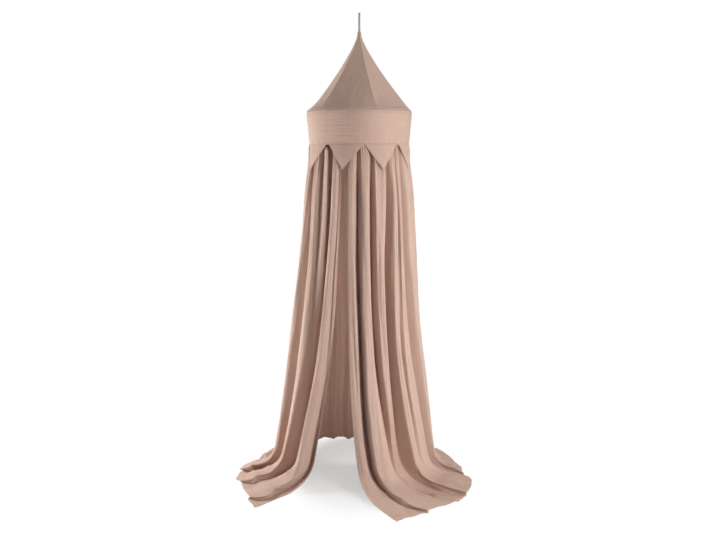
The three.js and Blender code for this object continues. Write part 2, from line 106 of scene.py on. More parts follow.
RIGHT_FOLDS = [
    ("right_valley_7", 260, 254, 250, 250, 1.24, 1.5, 0, 0),
    ("right_ridge_7", 272, 265, 260, 260, 1.34, 1.76, 1, 1),
    ("right_valley_6", 284, 278, 270, 272, 1.41, 1.98, -0.1, 0),
    ("right_ridge_6", 297, 291, 281, 285, 1.44, 2.14, 1, 1),
    ("right_valley_5", 308.5, 300.5, 288, 288.5, 1.44, 2.18, -0.2, 0),
    ("right_ridge_5", 313, 314, 301, 293, 1.43, 2.36, 0.9, 0.9),
    ("right_valley_4", 316.5, 318, 307, 299, 1.42, 2.44, 0.5, 0.8),
    ("right_ridge_4", 321, 324, 313.5, 304.8, 1.42, 2.5, 1, 1),
    ("right_valley_3", 329, 329.5, 318, 307.5, 1.4, 2.48, 0, 0),
    ("right_ridge_3", 340.5, 338, 325, 310, 1.4, 2.48, 0.86, 0.1),
    ("right_valley_2", 346.4, 343.8, 329, 312.5, 1.4, 2.48, 0, 0),
    ("right_ridge_2", 354.5, 352, 344.5, 328.3, 1.41, 2.46, 1, 1),
    ("right_valley_1", 361.9, 359, 349.5, 331, 1.4, 2.44, 0, 0),
    ("right_ridge_1", 367.5, 364.5, 357, 340, 1.4, 2.5, 1, 0.7),
    ("right_edge", 372, 369.4, 361, 345.2, 1.4, 2.54, 0.75, 0.5),
]
# Folds of the back, evenly between the two tables. The back's foot is drawn in behind the crown.
BACK_FOLDS = 8
BACK_DRAW_IN = 0.19
BACK_RIDGE, BACK_VALLEY = 0.6, 0.3
# Pleats on the floor: each ridge hangs over the valley beside it, and that valley is drawn under it.
FLOOR_PLEATS = [
    ("left_ridge_1", "left_valley_0"),
    ("left_ridge_2", "left_valley_1"),
    ("left_ridge_3", "left_valley_2"),
    ("right_ridge_6", "right_valley_5"),
    ("right_ridge_4", "right_valley_3"),
    ("right_ridge_2", "right_valley_1"),
]
PLEAT_LIP, PLEAT_LIP_WIDTH = 0.020, 0.5
PLEAT_TUCK, PLEAT_TUCK_WIDTH = 0.010, 0.4
# How far the lines on the floor bow round between the bend and the hem.
FLOOR_BOWS = [
    ("left_edge", 0),
    ("left_valley_0", -0.030),
    ("left_ridge_1", -0.036),
    ("left_valley_1", -0.030),
    ("left_ridge_2", -0.030),
    ("left_valley_2", -0.018),
    ("left_ridge_3", -0.016),
    ("left_valley_3", 0),
    ("right_valley_3", 0),
    ("right_ridge_3", 0.012),
    ("right_valley_2", 0.014),
    ("right_ridge_2", 0.018),
    ("right_valley_1", 0.014),
    ("right_ridge_1", 0.006),
    ("right_edge", 0),
]
# Small puckers of the cloth lying on the floor: line, step on from it, its place before the hem,
# its half width in lines, its half length, its height.
FLOOR_PUCKERS = [
    ("right_valley_6", 0.50, 0.150, 0.24, 0.040, 0.036),
    ("right_valley_6", 0.20, 0.235, 0.24, 0.034, 0.040),
    ("right_valley_6", 0.80, 0.075, 0.16, 0.040, -0.016),
    ("right_ridge_7", 0.60, 0.120, 0.25, 0.040, 0.030),
    ("right_valley_4", 0.45, 0.060, 0.25, 0.050, 0.012),
    ("right_ridge_3", 0.30, 0.110, 0.35, 0.030, 0.012),
    ("left_ridge_3", 0.30, 0.130, 0.18, 0.032, 0.034),
    ("left_ridge_1", 0.35, 0.230, 0.20, 0.040, 0.026),
    ("left_ridge_2", 0.40, 0.150, 0.20, 0.030, 0.018),
]
PUCKER_SLANT, PUCKER_SHARPNESS, PUCKER_ROUNDING = 0.8, 1.8, 0.03
# Single gathers under the pennants: line, step on from it, its half width in lines, its height, and how
# far down it fades. They start under the band, so that none stands out through it.
HEADING_GATHERS = [
    ("left_valley_1", 0.34, 0.13, 0.030, 0.75),
    ("left_valley_1", 0.58, 0.12, -0.018, 0.65),
    ("left_ridge_2", -0.15, 0.12, 0.005, 0.45),
    ("left_ridge_2", 0.30, 0.14, 0.006, 0.35),
    ("right_valley_3", 0.42, 0.14, 0.013, 0.45),
    ("right_ridge_3", 0.35, 0.12, 0.006, 0.30),
    ("right_ridge_6", -0.35, 0.12, 0.006, 0.5),
]
GATHER_START, GATHER_FULL = 0.004, 0.05
PANELS = [
    ("left_front_leaf", "left_edge", "left_valley_2"),
    ("left_side_panel", "left_valley_2", "left_valley_4"),
    ("back_left_panel", "left_valley_4", "back_middle"),
    ("back_right_panel", "back_middle", "right_valley_7"),
    ("right_side_panel", "right_valley_7", "right_valley_3"),
    ("right_front_leaf", "right_valley_3", "right_edge"),
]

# The curtain's mesh: columns for each step between lines, and rows to the hem, closer at the heading
# and in the bend. The hem's own rows are measured up from its edge.
COLUMNS_PER_FOLD = 12
LINE_WIDTH = 0.075
ROWS_ABOVE_HEM = 132
ROW_STEPS = [0, 0.12, 0.6, 0.9, 1]
ROW_SHARES = [0, 0.07, 0.77, 0.94, 1]
HEM_START = 0.034
HEM_ROWS = np.array([0.030, 0.0275, 0.026, 0.0245, 0.021, 0.014, 0.007, 0.002, 0])
# The folded hem: where its inner edge steps up, its row of stitches, how much thicker it is than one
# cloth, and how much of that lies outside.
HEM_STEP = (0.0275, 0.0255)
HEM_STITCHES = 0.026
HEM_THICKER, HEM_OUTSIDE = 0.9, 0.4
PRESSED_CLOTH = 0.0008

# The roof's seams, of which the three at the front are seen, and its curve from apex to hoop
ROOF_SEAMS = (44.5, 102, 162, 222, 282, 342, 404.5)
ROOF_CURVE = 1.25
GORE_FLATNESS, GORE_ROUNDING = 0.95, 5
# The rolled edge of the roof over the hoop: how far it stands out, its place above the foot, its width
EDGE_ROLL, EDGE_ROLL_LEVEL, EDGE_ROLL_WIDTH = 0.0028, 0.007, 0.004
CASING_CORNER = 0.0025
CASING_DEPTH = 0.015
BAND_MIDDLE_RADIUS = 0.245

# The turns of each pennant's base and tip
PENNANT_TURNS = [
    (58.5, 61), (15.2, 18), (-25.3, -25), (-68.5, -66), (-115, -116), (-162, -160), (152, 153), (105, 104)
]
PENNANT_STAND = 0.002
PENNANT_LEAN = 0.014
PENNANT_WAVE, PENNANT_CURL = 0.0013, 0.006
PENNANT_EDGE, PENNANT_EDGE_SHARE = 0.0015, 0.35

# The loop's tape: half its width, how thick it is, the half gap between its legs, and its sewn end
TAPE_HALF_WIDTH = 0.005
TAPE = 0.0015
LOOP_HALF_GAP = 0.0025
LOOP_SEWN_IN = 0.012
TAPE_CROWN = 0.0003


def lerp(a, b, t):
    return a + (b - a) * t


def smoothstep(x, low, high):
    t = np.clip((x - low) / (high - low), 0, 1)
    return t * t * (3 - 2 * t)


def rounded_step(x):
    """From 0 to 1 with a level start and end."""
    return (1 - np.cos(math.pi * x)) / 2


def place(turn, radius, level):
    """Places at a turn from the front, a radius and a level, as an array of points."""
    angle = np.radians(turn)
    x, y, z = np.broadcast_arrays(-radius * np.sin(angle), -radius * np.cos(angle), level)
    return np.stack([x, y, z], axis=-1)


def ripples(u, v, wave_u, wave_v, seed, count=7):
    """Soft uneven waves across and down a cloth, mostly between -1 and 1."""
    rng = np.random.default_rng(seed)
    total = 0
    for _ in range(count):
        across = 2 * math.pi / wave_u * rng.uniform(0.55, 1.6)
        down = 2 * math.pi / wave_v * rng.uniform(-1.5, 1.5)
        total = total + rng.uniform(0.5, 1) * np.sin(across * u + down * v + rng.uniform(0, 6.28))
    return total / math.sqrt(count)


def smooth_slopes(knots, values):
    """Slopes for a smooth curve through knots that never overshoots its values."""
    steps = np.diff(values, axis=0) / np.diff(knots, axis=0)
    before, after = steps[:-1], steps[1:]
    both = np.where(before + after == 0, 1, before + after)
    inner = np.where(before * after > 0, 2 * before * after / both, 0)
    return np.concatenate([steps[:1], inner, steps[-1:]])


def smooth_through(knots, values, slopes, q):
    """Values at q on the smooth curve. Knots, values and slopes have one row for each knot."""
    out = np.zeros(np.broadcast_shapes(q.shape, knots[0].shape))
    for i in range(len(knots) - 1):
        width = knots[i + 1] - knots[i]
        t = np.clip((q - knots[i]) / width, 0, 1)
        start = values[i] * (1 + 2 * t) * (1 - t) ** 2 + slopes[i] * width * t * (1 - t) ** 2
        end = values[i + 1] * (3 - 2 * t) * t * t - slopes[i + 1] * width * (1 - t) * t * t
        inside = q >= knots[i] if i else np.ones_like(q, bool)
        out = np.where(inside, start + end, out)
    return out


def grid_normals(grid, closed=False):
    """Outward directions over a grid of places, grid[column, row]."""
    if closed:
        across = np.roll(grid, -1, axis=0) - np.roll(grid, 1, axis=0)
    else:
        across = np.gradient(grid, axis=0)
    down = np.gradient(grid, axis=1)
    normal = np.cross(across, down)
    return normal / np.maximum(np.linalg.norm(normal, axis=-1, keepdims=True), 1e-12)


def coordinates(across, down):
    """One pair of cloth coordinates for each place of a grid."""
    return np.stack(np.broadcast_arrays(across, down), axis=-1)


def sheet_mesh(name, outer, inner, weave_uv, edge_uv, closed=False):
    """A closed body of cloth between two grids of places, with the weave's and the edges' coordinates."""
    columns, rows = outer.shape[:2]
    number = np.arange(columns * rows).reshape(columns, rows)
    back = number + columns * rows
    wrap = list(range(columns)) + [0] if closed else list(range(columns))
    number, back = number[wrap], back[wrap]

    def quads(a, b, c, d):
        return np.stack([a.ravel(), b.ravel(), c.ravel(), d.ravel()], axis=1)

    def faces_of(n, flip):
        a, b, c, d = n[:-1, :-1], n[1:, :-1], n[1:, 1:], n[:-1, 1:]
        return quads(a, d, c, b) if flip else quads(a, b, c, d)

    face_sets = [faces_of(number, False), faces_of(back, True)]
    soft = sum(len(f) for f in face_sets)
    face_sets.append(quads(number[:-1, 0], back[:-1, 0], back[1:, 0], number[1:, 0]))
    face_sets.append(quads(number[:-1, -1], number[1:, -1], back[1:, -1], back[:-1, -1]))
    if not closed:
        face_sets.append(quads(number[0, :-1], number[0, 1:], back[0, 1:], back[0, :-1]))
        face_sets.append(quads(number[-1, :-1], back[-1, :-1], back[-1, 1:], number[-1, 1:]))
    faces = np.concatenate(face_sets)
    points = np.concatenate([outer.reshape(-1, 3), inner.reshape(-1, 3)])
    mesh = bpy.data.meshes.new(name)
    mesh.from_pydata(points.tolist(), [], faces.tolist())
    loops = np.empty(len(mesh.loops), np.int32)
    mesh.loops.foreach_get("vertex_index", loops)
    for layer_name, uv in (("weave", weave_uv), ("edges", edge_uv)):
        layer = mesh.uv_layers.new(name=layer_name)
        both = np.concatenate([uv.reshape(-1, 2), uv.reshape(-1, 2)])
        layer.data.foreach_set("uv", both[loops].astype(np.float32).ravel())
    flat = np.arange(len(faces)) >= soft
    mesh.attributes.new("sharp_face", "BOOLEAN", "FACE").data.foreach_set("value", flat)
    mesh.update()
    piece = bpy.data.objects.new(name, mesh)
    bpy.context.scene.collection.objects.link(piece)
    return piece


def lengths_across(grid):
    """Distance along each row from the first column."""
    step = np.linalg.norm(np.diff(grid, axis=0), axis=-1)
    return np.concatenate([np.zeros((1, grid.shape[1])), np.cumsum(step, axis=0)])


def lengths_down(grid):
    """Distance down each column from the first row."""
    step = np.linalg.norm(np.diff(grid, axis=1), axis=-1)
    return np.concatenate([np.zeros((grid.shape[0], 1)), np.cumsum(step, axis=1)], axis=1)


# Materials


def new_group(name, inputs, outputs):
    group = bpy.data.node_groups.new(name, "ShaderNodeTree")
    for socket, kind, value in inputs:
        made = group.interface.new_socket(socket, in_out="INPUT", socket_type=kind)
        if value is not None:
            made.default_value = value
    for socket, kind in outputs:
        group.interface.new_socket(socket, in_out="OUTPUT", socket_type=kind)
    return group, group.nodes.new("NodeGroupInput"), group.nodes.new("NodeGroupOutput")


def new_material(name):
    material = bpy.data.materials.new(name)
    material.use_nodes = True
    return material, material.node_tree, material.node_tree.nodes["Principled BSDF"]


def add_node(tree, kind, **settings):
    node = tree.nodes.new(kind)
    for key, value in settings.items():
        setattr(node, key, value)
    return node


def feed(tree, socket, value):
    """A socket takes a plain value, or another node's output."""
    if isinstance(value, bpy.types.NodeSocket):
        tree.links.new(value, socket)
    else:
        socket.default_value = value


def math_node(tree, operation, a, b=None, c=None, clamp=False):
    node = add_node(tree, "ShaderNodeMath", operation=operation, use_clamp=clamp)
    for socket, value in zip(node.inputs, (a, b, c)):
        if value is not None:
            feed(tree, socket, value)
    return node.outputs[0]


def noise_node(tree, vector, scale, detail=2, roughness=0.5):
    node = add_node(tree, "ShaderNodeTexNoise")
    node.inputs["Scale"].default_value = scale
    node.inputs["Detail"].default_value = detail
    node.inputs["Roughness"].default_value = roughness
    tree.links.new(vector, node.inputs["Vector"])
    return node.outputs["Fac"]


def stretched_noise(tree, vector, across, down, detail=2, roughness=0.5):
    """Noise with its own scale across and down the cloth."""
    node = add_node(tree, "ShaderNodeVectorMath", operation="MULTIPLY")
    tree.links.new(vector, node.inputs[0])
    node.inputs[1].default_value = (across, down, 1)
    return noise_node(tree, node.outputs[0], 1.0, detail, roughness)


def mix_colors(tree, factor, a, b, blend="MIX"):
    node = add_node(tree, "ShaderNodeMix", data_type="RGBA", blend_type=blend)
    feed(tree, node.inputs["Factor"], factor)
    feed(tree, node.inputs["A"], a)
    feed(tree, node.inputs["B"], b)
    return node.outputs["Result"]


def bump_node(tree, height, distance, strength, normal=None):
    node = add_node(tree, "ShaderNodeBump")
    node.inputs["Distance"].default_value = distance
    node.inputs["Strength"].default_value = strength
    tree.links.new(height, node.inputs["Height"])
    if normal is not None:
        tree.links.new(normal, node.inputs["Normal"])
    return node.outputs["Normal"]


# Scales of the weave's unevenness, and how much each one changes the tone between dark and light
SLUB_FINE, SLUB_LONG = 900, 26
STREAK_FINE, STREAK_LONG = 130, 5
DYE_SCALE, MOTTLE_SCALE = 9.0, 140.0
SLUB_TONE, STREAK_TONE, DYE_TONE, MOTTLE_TONE, WEAVE_TONE = 0.42, 0.6, 0.3, 0.6, 0.06
TONE_SHIFT = -0.15
SLUB_HEIGHT, WEAVE_HEIGHT = 0.5, 0.35


def woven_cloth_group():
    """Plain weave: threads over and under, thick and thin threads, and uneven dye. UV is in metres."""
    group, start, end = new_group(
        "woven_cloth",
        [
            ("UV", "NodeSocketVector", None),
            ("Thread", "NodeSocketFloat", 0.0007),
            ("Light Tone", "NodeSocketColor", None),
            ("Dark Tone", "NodeSocketColor", None),
        ],
        [("Color", "NodeSocketColor"), ("Height", "NodeSocketFloat"), ("Fuzz", "NodeSocketFloat")],
    )
    uv = start.outputs["UV"]
    split = add_node(group, "ShaderNodeSeparateXYZ")
    group.links.new(uv, split.inputs[0])
    turn = math_node(group, "DIVIDE", math.pi, start.outputs["Thread"])
    along_x = math_node(group, "SINE", math_node(group, "MULTIPLY", split.outputs["X"], turn))
    along_y = math_node(group, "SINE", math_node(group, "MULTIPLY", split.outputs["Y"], turn))
    weave = math_node(group, "MULTIPLY", along_x, along_y)
    slubs_down = stretched_noise(group, uv, SLUB_FINE, SLUB_LONG)
    slubs_across = stretched_noise(group, uv, SLUB_LONG, SLUB_FINE)
    slubs = math_node(group, "ADD", slubs_down, slubs_across)
    dye = noise_node(group, uv, DYE_SCALE, 3)
    mottle = noise_node(group, uv, MOTTLE_SCALE, 3, 0.6)
    streaks = stretched_noise(group, uv, STREAK_FINE, STREAK_LONG)
    tone = math_node(group, "MULTIPLY_ADD", slubs, SLUB_TONE, -SLUB_TONE)
    tone = math_node(group, "MULTIPLY_ADD", streaks, STREAK_TONE, tone)
    tone = math_node(group, "MULTIPLY_ADD", dye, DYE_TONE, tone)
    tone = math_node(group, "ADD", tone, TONE_SHIFT)
    tone = math_node(group, "MULTIPLY_ADD", mottle, MOTTLE_TONE, tone)
    tone = math_node(group, "MULTIPLY_ADD", weave, WEAVE_TONE, tone, clamp=True)
    color = mix_colors(group, tone, start.outputs["Dark Tone"], start.outputs["Light Tone"])
    group.links.new(color, end.inputs["Color"])
    threads = math_node(group, "MULTIPLY", weave, WEAVE_HEIGHT)
    height = math_node(group, "MULTIPLY_ADD", slubs, SLUB_HEIGHT, threads)
    group.links.new(height, end.inputs["Height"])
    group.links.new(mottle, end.inputs["Fuzz"])
    return group


def creased_cloth_group():
    """Small rubbed creases and crumples left by packing and handling, as a height."""
    group, start, end = new_group(
        "creased_cloth",
        [("UV", "NodeSocketVector", None)],
        [("Height", "NodeSocketFloat")],
    )
    uv = start.outputs["UV"]
    soft = stretched_noise(group, uv, 30, 9, 3, 0.55)
    crumple = noise_node(group, uv, 55.0, 4, 0.6)
    height = math_node(group, "MULTIPLY_ADD", crumple, 0.3, soft)
    group.links.new(height, end.inputs["Height"])
    return group


def stitch_row_group():
    """One row of stitches at the distance Row from an edge: a dip in the cloth with a thread in it."""
    dip_half_width, thread_half_width = 0.0016, 0.0006
    group, start, end = new_group(
        "stitch_row",
        [
            ("Along", "NodeSocketFloat", 0),
            ("Distance", "NodeSocketFloat", 0),
            ("Row", "NodeSocketFloat", 0.02),
            ("Stitch", "NodeSocketFloat", 0.003),
        ],
        [("Thread", "NodeSocketFloat"), ("Dip", "NodeSocketFloat")],
    )
    off = math_node(group, "SUBTRACT", start.outputs["Distance"], start.outputs["Row"])
    off = math_node(group, "ABSOLUTE", off)
    near, narrow = (
        math_node(group, "SUBTRACT", 1, math_node(group, "DIVIDE", off, half), clamp=True)
        for half in (dip_half_width, thread_half_width)
    )
    share = math_node(group, "DIVIDE", start.outputs["Along"], start.outputs["Stitch"])
    beat = math_node(group, "SINE", math_node(group, "MULTIPLY", share, 2 * math.pi))
    on = math_node(group, "MULTIPLY_ADD", beat, 1.6, 0.9, clamp=True)
    group.links.new(math_node(group, "MULTIPLY", narrow, on), end.inputs["Thread"])
    group.links.new(near, end.inputs["Dip"])
    return group


WOVEN = woven_cloth_group()
CREASED = creased_cloth_group()
STITCH = stitch_row_group()


def linear(red, green, blue):
    """A colour given as it looks, from 0 to 255, as the light values that the shader takes."""
    def one(c):
        c /= 255
        return c / 12.92 if c <= 0.04045 else ((c + 0.055) / 1.055) ** 2.4

    return (one(red), one(green), one(blue), 1)


# The cloth's and the tape's tones, the painted shade that darkens the dip of a row of stitches, and the
# cloth's plain shader values
LIGHT_TONE, DARK_TONE = linear(202, 173, 158), linear(179, 147, 131)
LIGHT_TAPE, DARK_TAPE = linear(190, 177, 169), linear(158, 146, 139)
STITCH_DIP_PAINTED_SHADE = (0.72, 0.68, 0.66, 1)
CLOTH_FINISH = {
    "Specular IOR Level": 0.45,
    "Subsurface Weight": 0.2,
    "Subsurface Radius": (1.0, 0.85, 0.75),
    "Subsurface Scale": 0.003,
    "Sheen Weight": 0.12,
    "Sheen Roughness": 0.5,
    "Sheen Tint": (1, 0.92, 0.86, 1),
}


def cloth_material(name, light, dark, rows, thread=0.0007, crease=0.002):
    """Woven cloth. rows holds the stitch rows: the edge coordinate they follow and their distance."""
    material, tree, shader = new_material(name)
    weave_uv = add_node(tree, "ShaderNodeUVMap", uv_map="weave").outputs["UV"]
    woven = add_node(tree, "ShaderNodeGroup", node_tree=WOVEN)
    tree.links.new(weave_uv, woven.inputs["UV"])
    woven.inputs["Thread"].default_value = thread
    woven.inputs["Light Tone"].default_value = light
    woven.inputs["Dark Tone"].default_value = dark
    creased = add_node(tree, "ShaderNodeGroup", node_tree=CREASED)
    tree.links.new(weave_uv, creased.inputs["UV"])
    color = woven.outputs["Color"]
    dips = None
    if rows:
        edge = add_node(tree, "ShaderNodeSeparateXYZ")
        edge_uv = add_node(tree, "ShaderNodeUVMap", uv_map="edges").outputs["UV"]
        tree.links.new(edge_uv, edge.inputs[0])
        length = add_node(tree, "ShaderNodeSeparateXYZ")
        tree.links.new(weave_uv, length.inputs[0])
        for axis, distance in rows:
            stitch = add_node(tree, "ShaderNodeGroup", node_tree=STITCH)
            tree.links.new(edge.outputs[axis], stitch.inputs["Distance"])
            tree.links.new(length.outputs["Y" if axis == "X" else "X"], stitch.inputs["Along"])
            stitch.inputs["Row"].default_value = distance
            # Painted shade: the cloth's colour is darkened inside the stitches' dip
            color = mix_colors(tree, stitch.outputs["Dip"], color, STITCH_DIP_PAINTED_SHADE, "MULTIPLY")
            color = mix_colors(tree, stitch.outputs["Thread"], color, light)
            dip = math_node(tree, "SUBTRACT", stitch.outputs["Dip"], stitch.outputs["Thread"])
            dips = dip if dips is None else math_node(tree, "ADD", dips, dip)
    tree.links.new(color, shader.inputs["Base Color"])
    height = woven.outputs["Height"]
    if dips is not None:
        height = math_node(tree, "MULTIPLY_ADD", dips, -1.5, height)
    creases = bump_node(tree, creased.outputs["Height"], crease, 0.5)
    tree.links.new(bump_node(tree, height, 0.0004, 0.35, creases), shader.inputs["Normal"])
    rough = math_node(tree, "MULTIPLY_ADD", woven.outputs["Fuzz"], 0.12, 0.86, clamp=True)
    tree.links.new(rough, shader.inputs["Roughness"])
    for socket, value in CLOTH_FINISH.items():
        shader.inputs[socket].default_value = value
    return material


def plastic_material(name, color, roughness):
    """Drawn or moulded plastic with faint streaks and a slightly uneven gloss."""
    material, tree, shader = new_material(name)
    place_in_piece = add_node(tree, "ShaderNodeTexCoord").outputs["Object"]
    streaks = noise_node(tree, place_in_piece, 220.0, 3)
    darker = tuple(0.9 * c for c in color[:3]) + (1,)
    tree.links.new(mix_colors(tree, streaks, darker, color), shader.inputs["Base Color"])
    rough = math_node(tree, "MULTIPLY_ADD", streaks, 0.15, roughness)
    tree.links.new(rough, shader.inputs["Roughness"])
    tree.links.new(bump_node(tree, streaks, 0.0002, 0.2), shader.inputs["Normal"])
    return material


crown_cloth = cloth_material(
    "crown_cloth", LIGHT_TONE, DARK_TONE, [("X", 0.0015), ("X", 0.006)], crease=0.0014
)
band_cloth = cloth_material("band_cloth", LIGHT_TONE, DARK_TONE, [("Y", 0.004)], crease=0.0024)
pennant_cloth = cloth_material("pennant_cloth", LIGHT_TONE, DARK_TONE, [("X", 0.004)], crease=0.0014)
curtain_cloth = cloth_material(
    "curtain_cloth", LIGHT_TONE, DARK_TONE, [("Y", HEM_STITCHES)], crease=0.004
)
loop_tape = cloth_material("loop_tape", LIGHT_TAPE, DARK_TAPE, [], thread=0.0009, crease=0.0003)
hoop_rod = plastic_material("hoop_rod", linear(230, 228, 222), 0.35)
hoop_sleeve = plastic_material("hoop_sleeve", linear(191, 189, 184), 0.45)


def dress(piece, material, body, nodes):
    """Gives a cloth its finish, hides the part's nodes that it stands for, and hangs it on its body if it
    has one.
    """
    piece.data.materials.append(material)
    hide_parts(*nodes)
    if body:
        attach(piece, body)


# Curtain


def fold_table():
    """The names of all fold lines and their rows, with the back's folds between the two tables."""
    foot, reach, rises = 4, 5, slice(6, 8)
    left, right = (np.array([f[1:] for f in folds], float) for folds in (LEFT_FOLDS, RIGHT_FOLDS))
    names = [f[0] for f in LEFT_FOLDS]
    steps = 2 * BACK_FOLDS
    back = []
    for k in range(1, steps):
        share = k / steps
        line = lerp(left[-1], right[0], share)
        hollow = math.sin(math.pi * share)
        line[foot] -= BACK_DRAW_IN * hollow**2
        line[reach] = lerp(line[reach], line[foot], hollow**0.7)
        line[rises] = BACK_RIDGE if k % 2 else BACK_VALLEY
        back.append(line)
        names.append("back_middle" if k == BACK_FOLDS else f"back_line_{k}")
    names += [f[0] for f in RIGHT_FOLDS]
    return names, np.concatenate([left, np.array(back), right])


def line_shares(names, position, table):
    """A length given for some of the lines, drawn out evenly to the lines beside them."""
    knots = np.array([names.index(line) for line, _ in table])
    order = np.argsort(knots)
    return np.interp(position, knots[order], np.array([size for _, size in table])[order])


def steps_from(names, position, line, step=0):
    """How many lines each column is past the place that is a step on from a named line."""
    return position[:, None] - names.index(line) - step


def pleat_shift(names, position):
    """How far each line of cloth moves round on the floor for the pleats lying over their valleys."""
    shift = 0 * position
    for ridge, valley in FLOOR_PLEATS:
        k, way = names.index(ridge), names.index(valley) - names.index(ridge)
        lip = np.exp(-(((position - k) / PLEAT_LIP_WIDTH) ** 2))
        tuck = np.exp(-(((position - k - way) / PLEAT_TUCK_WIDTH) ** 2))
        shift = shift + way * PLEAT_LIP * lip
        shift = shift - way * PLEAT_TUCK * tuck
    return shift


def curtain_path(foot, reach):
    """The cloth's way without folds: flared down to the bend, round it and out along the floor.

    Gives for every line and row the length from the heading, the line's whole length, the radius, the
    level, how far the cloth has turned from hanging to lying, and the share of its run on the floor.
    """
    sweep = SWEEP_HEIGHT * np.clip((reach - foot) / SWEEP_RUN, 0, 1)
    rest = FLOOR_LEVEL + CLOTH + HEM_CLEARANCE * (1 - sweep / SWEEP_HEIGHT)
    spread = foot - HEADING_RADIUS

    def flared(share):
        return HEADING_RADIUS + spread * share * (FLARE_STRAIGHT + FLARE_CURVED * share**2)

    hanging = HEADING_LEVEL - rest - sweep
    sweep_top = hanging / HANGING_HEIGHT
    lean = spread * (FLARE_STRAIGHT + 3 * FLARE_CURVED * sweep_top**2) / HANGING_HEIGHT
    sweep_length = sweep * math.sqrt(2) * (1 + lean)
    sweep_end = flared(sweep_top) + sweep * (1 + lean)
    run = np.maximum(reach - sweep_end, 0)
    total = hanging + sweep_length + run

    marks = np.interp(np.linspace(0, 1, ROWS_ABOVE_HEM), ROW_STEPS, ROW_SHARES)
    above_hem = marks[None, :-1] * (total - HEM_START)
    length = np.concatenate([above_hem, total - HEM_ROWS[None, :]], axis=1)

    t = np.clip((length - hanging) / np.maximum(sweep_length, 1e-9), 0, 1)
    height_share = np.clip(length / HANGING_HEIGHT, 0, sweep_top)
    on_floor = length > hanging + sweep_length
    run_share = np.where(on_floor, (length - hanging - sweep_length) / np.maximum(run, 1e-9), 0)
    bent = sweep * (2 * t * (1 - t) * lean + t * t * (1 + lean))
    radius = flared(height_share) + bent + run * run_share
    level = np.where(length < hanging, HEADING_LEVEL - length, rest + sweep * (1 - t) ** 2)
    up = np.where(sweep > 1e-6, math.pi / 2 * smoothstep(t, 0, 1), 0)
    return length, total, radius, level, up, run_share


def line_turns(near, half, low, hem, length, total):
    """The turn of every line at every row, smooth through the heights of the fold table."""
    table_heights = [share * HANGING_HEIGHT + 0 * total for share in TURN_HEIGHTS]
    heights = np.stack([0 * total, *table_heights, total])
    turns = np.stack([near, near, half, low, hem])
    last = len(turns) - 1
    slopes = [0 * near]
    for i in range(1, len(turns)):
        after = min(i + 1, last)
        slopes.append((turns[after] - turns[i - 1]) / (heights[after] - heights[i - 1]))
    return smooth_through(heights, turns, np.stack(slopes), length)


def fold_rise(names, lines, position, length, up):
    """How far each place stands out from its valley, 0, to its ridge, 1."""
    index = np.minimum(position.astype(int), len(lines) - 2)
    part = (position - index)[:, None]
    height_share = length / HANGING_HEIGHT
    lowered = smoothstep(height_share, TURN_HEIGHTS[1], 1)
    before = lerp(lines[index, 6, None], lines[index, 7, None], lowered)
    after = lerp(lines[index + 1, 6, None], lines[index + 1, 7, None], lowered)
    from_valley = np.where(before > after, 1 - part, part)
    left_end, right_start = names.index("left_valley_4"), names.index("right_valley_7")
    on_right = smoothstep(position, left_end, right_start)[:, None]
    ridge_start = lerp(LEFT_RIDGE_START, RIGHT_RIDGE_START, on_right)
    from_valley = np.clip(from_valley / lerp(ridge_start, 1, np.sin(up)), 0, 1)
    to_ridge = rounded_step(from_valley) ** lerp(HANGING_PLEAT, FLOOR_PLEAT, np.sin(up))
    rise = np.minimum(before, after) + np.abs(before - after) * to_ridge
    return rise - VALLEY_SINK * np.clip(1 - rise, 0, 1) * np.cos(up) * smoothstep(height_share, 0.05, 0.3)


def fold_depth(length, up, run_share):
    """The depth from valley to ridge at every place."""
    height_share = length / HANGING_HEIGHT
    gathered = lerp(HEADING_DEPTH, UPPER_DEPTH, smoothstep(height_share, 0, TURN_HEIGHTS[0]))
    deep = lerp(gathered, LOWER_DEPTH, smoothstep(height_share, TURN_HEIGHTS[0], 1))
    return lerp(deep, lerp(BEND_DEPTH, HEM_DEPTH, run_share), np.sin(up))


def small_folds(names, position, length, from_hem, up):
    """How far gathers, waves, creases, crumples and puckers push the cloth outwards."""
    across = position[:, None] * LINE_WIDTH + 0 * length
    hanging = 1 - smoothstep(up, 0.3, 1.3)

    beat = 2 * math.pi * across / 0.026 + 2 * ripples(across, length, 0.2, 0.5, 3)
    gathers = 0.0022 * np.exp(-length / 0.10) * np.sin(beat)
    long_waves = 0.0024 * ripples(across, length, 0.10, 1.1, 5) * smoothstep(length, 0.02, 0.3) * hanging
    creases = 0.0011 * ripples(across, length, 0.035, 0.45, 8) * smoothstep(length, 0.05, 0.4)
    creases = creases * (0.25 + 0.75 * hanging)
    crumples = 0.0030 * ripples(across, length, 0.07, 0.11, 11) * (1 - hanging)
    hem_wave = 0.0016 * ripples(across, 0 * length, 0.05, 1, 13) * smoothstep(-from_hem, -0.05, 0)

    under_band = smoothstep(length, GATHER_START, GATHER_FULL)
    for line, step, width, height, fade in HEADING_GATHERS:
        away = steps_from(names, position, line, step) / width
        gathers = gathers + height * under_band * np.exp(-(away**2) - (length / fade) ** 4)
    puckers = 0 * length
    for line, step, before_hem, width, half_length, height in FLOOR_PUCKERS:
        away = steps_from(names, position, line, step) / width
        along = (from_hem - before_hem) / half_length + PUCKER_SLANT * away
        distance = np.sqrt(away**2 + along**2 + PUCKER_ROUNDING)
        puckers = puckers + height * np.exp(-PUCKER_SHARPNESS * distance)
    return gathers + long_waves + creases + crumples + hem_wave + puckers


